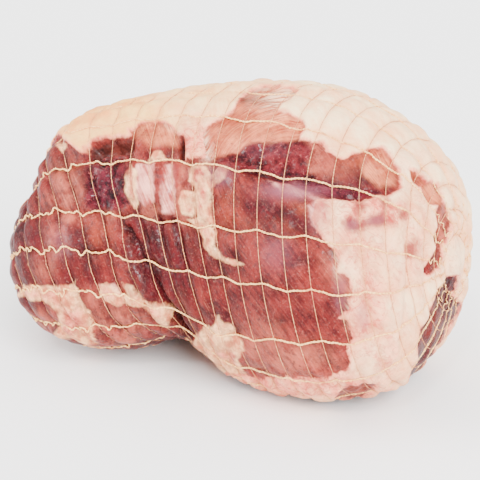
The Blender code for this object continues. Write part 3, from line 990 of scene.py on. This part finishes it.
tone_of = {}
height_of = {}
for name, (light, dark, blotch_scale, fibre_scale, drift, share, parting) in TISSUES.items():
    grain = add_node(meat_tree, "ShaderNodeGroup", {"node_tree": tissue_grain},
                     Light=seen_colour(*light), Dark=seen_colour(*dark), Fibre=painted["fibre"],
                     Drift=drift, Streaks=share, Spread=parting)
    connect(meat_tree, grain, {"Blotch Scale": blotch_scale, "Fibre Scale": fibre_scale})
    tone_of[name] = grain.outputs["Color"]
    height_of[name] = grain.outputs["Height"]

# Muscle: darker tissue and painted shade in deep places, painted shade in furrows and creases.
surface = tone_of["lean"]
# The pale tone is partly paler tissue and partly painted highlight.
for name in ("deep", "pale", "rust"):
    surface = mixed(painted[name], surface, tone_of[name])
# Painted shade in the furrows, broken up by spots.
surface = mixed(times(painted["furrow"], spotted("furrow")), surface, tone_of["deep"])
# Painted shade along the creases.
surface = mixed(painted["crease"], surface, tone_of["deep"])
warm_surface = mixed(painted["rust"], tone_of["warm"], tone_of["rust"])
surface = mixed(edged("warm"), surface, warm_surface)

# Marbling and film: fine pale threads of fat along the fibres, thin shreds of silvery
# membrane that stick to the cut face, small dark pits, and painted highlight specks for wet gleams.
THREAD_DRIFT = 90.0
THREADS_PER_PIXEL = 0.8
MARBLING = (0.58, 0.76, 0.0, 0.4)
MARBLING_LEFT_WHERE_DARK = 0.5
SHREDS_LEFT_WHERE_DARK = 0.35
across_threads = times(painted["fibre"], THREADS_PER_PIXEL)
threads = streaky(meat_tree, meat_at, THREAD_DRIFT, across_threads, 0.65, 0.3)
marbling = times(threshold(threads, *MARBLING),
                 mixed_value(painted["deep"], 1.0, MARBLING_LEFT_WHERE_DARK))
surface = mixed(marbling, surface, MARBLE_COLOUR)
shreds = times(spotted("shred"), mixed_value(painted["deep"], 1.0, SHREDS_LEFT_WHERE_DARK))
surface = mixed(shreds, surface, FILM_COLOUR)
surface = mixed(spotted("pit"), surface, PIT_COLOUR)
# Painted highlight: fine pale specks that stand for wet glints.
surface = mixed(spotted("painted_gleam"), surface, PAINTED_GLEAM_COLOUR)

# Clots, streaks of white veil and membrane, and smears of fat over the lean.
CURLS = (300.0, 4.0, 0.7, 2.2)
FLECKS = (0.59, 0.67, 0.0, 0.7)
VEIL_THREADS = (0.40, 0.60)
SMEAR_SHARES = (0.55, 0.95)
BLOOD_SHARE = 0.8
clot_mask = edged("clotted")
surface = mixed(clot_mask, surface, mixed(painted["deep"], tone_of["clot"], tone_of["wet"]))
curls = cloudy(*CURLS)
surface = mixed(times(threshold(curls, *FLECKS), clot_mask), surface, FLECK_COLOUR)
veil = times(painted["veil"], threshold(threads, *VEIL_THREADS))
surface = mixed(veil, surface, VEIL_COLOUR)
surface = mixed(edged("membrane"), surface, tone_of["silver"])
smears = mixed(times(edged("patch core"), spotted("pink smear")), tone_of["smear"], tone_of["pink"])
smear_share = times(edged("patch"), mixed_value(spotted("thick smear"), *SMEAR_SHARES))
surface = mixed(smear_share, surface, smears)
# Painted shadow in the hollows.
surface = mixed(edged("hollow"), surface, tone_of["hollow"])
surface = mixed(times(edged("blood"), BLOOD_SHARE), surface, BLOOD_COLOUR)

# Fat: cream, mottled pink near the lean, with fine red veins and painted shade in the string
# grooves.
RAGGED_PINK = 8.0
PINK_SHARES = (0.6, 1.0)
VEIN_NOISE = (95.0, 3.0, 0.55, 1.2)
VEINS = (0.0, 0.030, 0.7, 0.0)
GROOVE_SHADE_SHARE = 0.3
STAIN_SHARE = 0.85
fat_mask = edged("fat", mixed_value(painted["pink"], EDGES["fat"][2], RAGGED_PINK))
fat_surface = mixed(painted["yellow"], tone_of["fat"], tone_of["cream"])
pinkness = times(painted["pink"], mixed_value(spotted("mottle"), *PINK_SHARES))
fat_surface = mixed(pinkness, fat_surface, tone_of["pink"])
off_middle = worked_out(meat_tree, "SUBTRACT", cloudy(*VEIN_NOISE), 0.5)
veins = threshold(worked_out(meat_tree, "ABSOLUTE", off_middle), *VEINS)
fat_surface = mixed(times(painted["pink"], veins), fat_surface, VEIN_COLOUR)
fat_surface = mixed(edged("thick fat"), tone_of["pink"], fat_surface)
# Painted shade in the grooves that the strings press into the fat.
fat_surface = mixed(times(painted["groove"], GROOVE_SHADE_SHARE), fat_surface, GROOVE_SHADE_COLOUR)
surface = mixed(fat_mask, surface, fat_surface)
surface = mixed(times(edged("stain"), STAIN_SHARE), surface, STAIN_COLOUR)
surface = mixed(painted["wash"], surface, PURPLE_WASH)

# Fat is a little rougher than the wet muscle, and both carry a broken film of moisture.
LEAN_AND_FAT_ROUGHNESS = (0.40, 0.50)
WET_AND_DRY = (0.75, 1.3)
FILM_NOISE = (130.0, 4.0, 0.65)
DULL_AND_SHINY = (0.12, 0.5)
FINE_NOISE = (520.0, 3.0, 0.6)
FINE_RELIEF = 0.6
CURL_RELIEF = 2.4
GRAIN_DEPTH_MM = 1.3
roughness = mixed_value(fat_mask, *LEAN_AND_FAT_ROUGHNESS)
roughness = mixed_value(cloudy(*FILM_NOISE), *(times(roughness, share) for share in WET_AND_DRY))
wetness = times(spotted("glint"), mixed_value(painted["shine"], *DULL_AND_SHINY))
relief = mixed_value(fat_mask, height_of["lean"], height_of["fat"])
relief = plus_share(cloudy(*FINE_NOISE), FINE_RELIEF, relief)
relief = plus_share(times(curls, clot_mask), CURL_RELIEF, relief)
meat_bump = add_node(meat_tree, "ShaderNodeBump", Strength=0.8, Distance=GRAIN_DEPTH_MM * MM,
                     Height=relief)
connect(meat_tree, meat_shader, {
    "Base Color": surface,
    "Roughness": roughness,
    "Specular IOR Level": 0.1,
    "Coat Weight": wetness,
    "Coat Roughness": 0.09,
    "Subsurface Weight": 0.08,
    "Subsurface Radius": (0.9, 0.35, 0.25),
    "Subsurface Scale": 0.003,
    "Normal": meat_bump.outputs["Normal"],
})

meat_mesh.materials.append(meat_material)
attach(meat, "root")
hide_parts("ham")

# Netting
# Butcher's net of cream elastic yarn. Cords of two plied strands run lengthwise, thinner
# hoops go round, and the two are knitted together wherever they cross.
CORD_RADIUS_MM = 0.58
HOOP_RADIUS_MM = 0.24
STRAND_SIDES = 6
TWIST_MM = 4.0
CORD_STEPS = 420
HOOP_STEPS = 240
STRAND_SHARE = 0.62
PLY_OFFSET = 0.8
STRING_RISE = 0.35
FLOOR_GAP = 1.6
BRIDGE_SPREAD = 4.0
BRIDGE_REACH = 9
WANDER_LEFT = 0.9
WANDER_RIGHT = 0.12
WANDER_ENDS = (55.0, 85.0)
# Waves of a slack cord: strength, pitch along the cord, and shift from one cord to the next.
WRIGGLES = ((1.0, 1.3, 2.1), (0.7, 2.3, 1.3), (0.5, 3.1, 0.7))
END_TANGLE = 4.0
TANGLE_STARTS = (148.0, 160.0)
END_THIN = 0.5
THIN_STARTS = (138.0, 158.0)


def wander(station, number):
    """How a slack cord wriggles, in degrees: much over the lobe, hardly over the leg."""
    over_lobe = 1.0 - smooth_step(station, *WANDER_ENDS)
    slack = WANDER_RIGHT + (WANDER_LEFT - WANDER_RIGHT) * over_lobe
    slack += END_TANGLE * smooth_step(station, *TANGLE_STARTS)
    waves = (strength * np.sin(pitch * station + shift * number)
             for strength, pitch, shift in WRIGGLES)
    return slack * sum(waves)


def laid_on_meat(station, angle, radius):
    """A string's path over the meat: half sunk, but bridging the narrow hollows."""
    reach = between_rows(string_reach, station, angle)
    padded = np.pad(reach, BRIDGE_REACH, mode="edge")
    bridge = np.convolve(padded, bell_weights(BRIDGE_SPREAD, BRIDGE_REACH), mode="valid")
    reach = np.maximum(reach + STRING_RISE * radius * MM, bridge)
    path = spine_point(station) + reach[:, None] * outward(station, angle)
    path[:, 2] = np.maximum(path[:, 2], FLOOR_GAP * radius * MM)
    return path


def upright_from(vectors, run):
    """Unit vectors square to the run of a string."""
    return unit(vectors - (vectors * run).sum(axis=-1, keepdims=True) * run)


def strand_rings(path, closed, radius, phase):
    """Rings of one strand that twists round a path with its fellow strand."""
    if closed:
        run = unit(np.roll(path, -1, axis=0) - np.roll(path, 1, axis=0))
    else:
        run = unit(np.gradient(path, axis=0))
    middle = np.array([0.0, SPINE_Y, SPINE_HEIGHT]) + path * np.array([1.0, 0.0, 0.0])
    up = upright_from(path - middle, run)
    side = np.cross(run, up)
    length = np.append(0.0, np.cumsum(long_mm(np.diff(path, axis=0))))
    turns = length / TWIST_MM
    if closed:
        whole = length[-1] + long_mm(path[0] - path[-1])
        turns = length / whole * round(whole / TWIST_MM)
    turn = (2 * np.pi * turns + phase)[:, None]
    thick = (STRAND_SHARE * radius * MM * np.ones(len(path)))[:, None]
    centre = path + PLY_OFFSET * thick * (np.cos(turn) * up + np.sin(turn) * side)
    around = (2 * np.pi * np.arange(STRAND_SIDES) / STRAND_SIDES)[None, :, None]
    spokes = np.cos(around) * up[:, None, :] + np.sin(around) * side[:, None, :]
    return centre[:, None, :] + thick[..., None] * spokes


def add_strand(corners, faces, rings, closed):
    """Add a strand's skin to a growing mesh."""
    first = len(corners)
    count, sides = rings.shape[:2]
    corners.extend(tuple(point) for point in rings.reshape(-1, 3))
    for ring in range(count if closed else count - 1):
        following = (ring + 1) % count
        for side in range(sides):
            beyond = (side + 1) % sides
            faces.append((first + ring * sides + side, first + ring * sides + beyond,
                          first + following * sides + beyond, first + following * sides + side))
    if not closed:
        faces.append(tuple(first + side for side in reversed(range(sides))))
        faces.append(tuple(first + (count - 1) * sides + side for side in range(sides)))


# Length, width and height of a stitch.
STITCH_MM = (1.5, 0.95, 0.8)
STITCH_RINGS = 5
STITCH_SIDES = 8


def add_stitch(corners, faces, middle, along, up):
    """Small knitted lump where a hoop is caught in a cord."""
    side = np.cross(along, up)
    first = len(corners)
    for ring in range(STITCH_RINGS):
        tilt = np.pi * (ring + 0.5) / STITCH_RINGS
        for step in range(STITCH_SIDES):
            turn = 2 * np.pi * step / STITCH_SIDES
            offset = (STITCH_MM[0] * np.cos(tilt) * along
                      + STITCH_MM[1] * np.sin(tilt) * np.cos(turn) * side
                      + STITCH_MM[2] * np.sin(tilt) * np.sin(turn) * up)
            corners.append(tuple(middle + 0.5 * MM * offset))
    for ring in range(STITCH_RINGS - 1):
        for step in range(STITCH_SIDES):
            beyond = (step + 1) % STITCH_SIDES
            low = first + ring * STITCH_SIDES
            high = low + STITCH_SIDES
            faces.append((low + step, high + step, high + beyond, low + beyond))
    faces.append(tuple(first + step for step in range(STITCH_SIDES)))
    last = first + (STITCH_RINGS - 1) * STITCH_SIDES
    faces.append(tuple(last + step for step in reversed(range(STITCH_SIDES))))


net_corners = []
net_faces = []
for number, cord in enumerate(cord_angles):
    upright = np.linspace(hoop_stations[0], hoop_stations[-1], CORD_STEPS)
    swung = cord + swung_by(upright, cord) + wander(upright, number)
    radii = CORD_RADIUS_MM * (1.0 - END_THIN * smooth_step(upright, *THIN_STARTS))
    path = laid_on_meat(*on_skin(upright, swung), radii)
    for phase in (0.0, np.pi):
        rings = strand_rings(path, False, radii, phase)
        add_strand(net_corners, net_faces, rings, False)
    run = unit(np.gradient(path, axis=0))
    up = upright_from(path - spine_point(upright), run)
    for hoop in hoop_stations:
        step = int(np.argmin(np.abs(upright - hoop)))
        add_stitch(net_corners, net_faces, path[step], run[step], up[step])
cord_corners = len(net_corners)
for hoop in hoop_stations:
    turn = np.arange(0.0, 360.0, 360.0 / HOOP_STEPS)
    path = laid_on_meat(*on_skin(np.full(turn.shape, hoop), turn), HOOP_RADIUS_MM)
    for phase in (0.0, np.pi):
        rings = strand_rings(path, True, HOOP_RADIUS_MM, phase)
        add_strand(net_corners, net_faces, rings, True)

net_mesh = bpy.data.meshes.new("netting")
net_mesh.from_pydata(net_corners, [], net_faces)
net_mesh.shade_smooth()
thin = net_mesh.attributes.new("thin", "FLOAT", "POINT")
thin.data.foreach_set("value", (np.arange(len(net_corners)) >= cord_corners).astype(np.float32))
net = add_object("net", net_mesh)

# Yarn: cream fibre, tanner in the thin elastic, stained pink here and there by the meat, with
# fine plies and fluff.
CORD_LIGHT = seen_colour(250, 202, 136)
CORD_DARK = seen_colour(222, 156, 94)
HOOP_LIGHT = seen_colour(216, 156, 110)
HOOP_DARK = seen_colour(180, 112, 78)
YARN_STAIN = seen_colour(184, 92, 68)
PLY_NOISE = (900.0, 3.0, 0.6)
PLIES = (0.40, 0.60)
STAIN_NOISE = (55.0, 4.0, 0.6)
STAINED = (0.50, 0.68, 0.0, 0.45)
FLUFF_NOISE = (2600.0, 2.0, 0.5)
FLUFF_MM = 0.3
net_material, net_tree, net_shader = new_material("net_yarn")
dyed = partial(colour_mix, net_tree)
yarn_noise = partial(noise, net_tree, here(net_tree))
plies = stepped(net_tree, yarn_noise(*PLY_NOISE), *PLIES)
is_thin = add_node(net_tree, "ShaderNodeAttribute", {"attribute_name": "thin"}).outputs["Fac"]
yarn = dyed(is_thin, dyed(plies, CORD_DARK, CORD_LIGHT), dyed(plies, HOOP_DARK, HOOP_LIGHT))
yarn = dyed(stepped(net_tree, yarn_noise(*STAIN_NOISE), *STAINED), yarn, YARN_STAIN)
yarn_bump = add_node(net_tree, "ShaderNodeBump", Strength=0.6, Distance=FLUFF_MM * MM,
                     Height=yarn_noise(*FLUFF_NOISE))
connect(net_tree, net_shader, {
    "Base Color": yarn,
    "Roughness": value_mix(net_tree, plies, 0.95, 0.75),
    "Specular IOR Level": 0.2,
    "Normal": yarn_bump.outputs["Normal"],
})
net_mesh.materials.append(net_material)
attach(net, "root")
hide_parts("netting")

# Stage
# A plain pale table under soft studio light.
TABLE_HALF = 6.0
TABLE_COLOUR = (0.9, 0.9, 0.9, 1.0)
STUDIO_COLOUR = (1.0, 1.0, 1.0, 1.0)
STUDIO_STRENGTH = 0.9
floor_mesh = bpy.data.meshes.new("floor")
corner_signs = ((-1, -1), (1, -1), (1, 1), (-1, 1))
floor_corners = [(TABLE_HALF * x, TABLE_HALF * y, 0) for x, y in corner_signs]
floor_mesh.from_pydata(floor_corners, [], [(0, 1, 2, 3)])
floor = add_object("floor", floor_mesh)
floor_material, floor_tree, floor_shader = new_material("floor")
connect(floor_tree, floor_shader, {"Base Color": TABLE_COLOUR, "Roughness": 0.9})
floor_mesh.materials.append(floor_material)

world = bpy.data.worlds.new("studio")
world.use_nodes = True
background = world.node_tree.nodes["Background"]
connect(world.node_tree, background, {"Color": STUDIO_COLOUR, "Strength": STUDIO_STRENGTH})
bpy.context.scene.world = world

# Each sun: where it stands, the width of its light in degrees, and its strength.
LIGHTS = {
    "key": ((1.1, -1.05, 0.95), 35.0, 9.4),
    "sparkle": ((0.2, -1.1, 1.0), 6.0, 1.2),
    "fill": ((-1.3, -0.8, 0.7), 60.0, 5.0),
    "top": ((0.25, 0.2, 1.4), 80.0, 3.2),
}
for name, (place, softness, strength) in LIGHTS.items():
    light_data = bpy.data.lights.new(name, "SUN")
    light_data.angle = math.radians(softness)
    light_data.energy = strength
    light = add_object(name, light_data)
    light.location = place
    light.rotation_euler = (-Vector(place)).to_track_quat("-Z", "Y").to_euler()
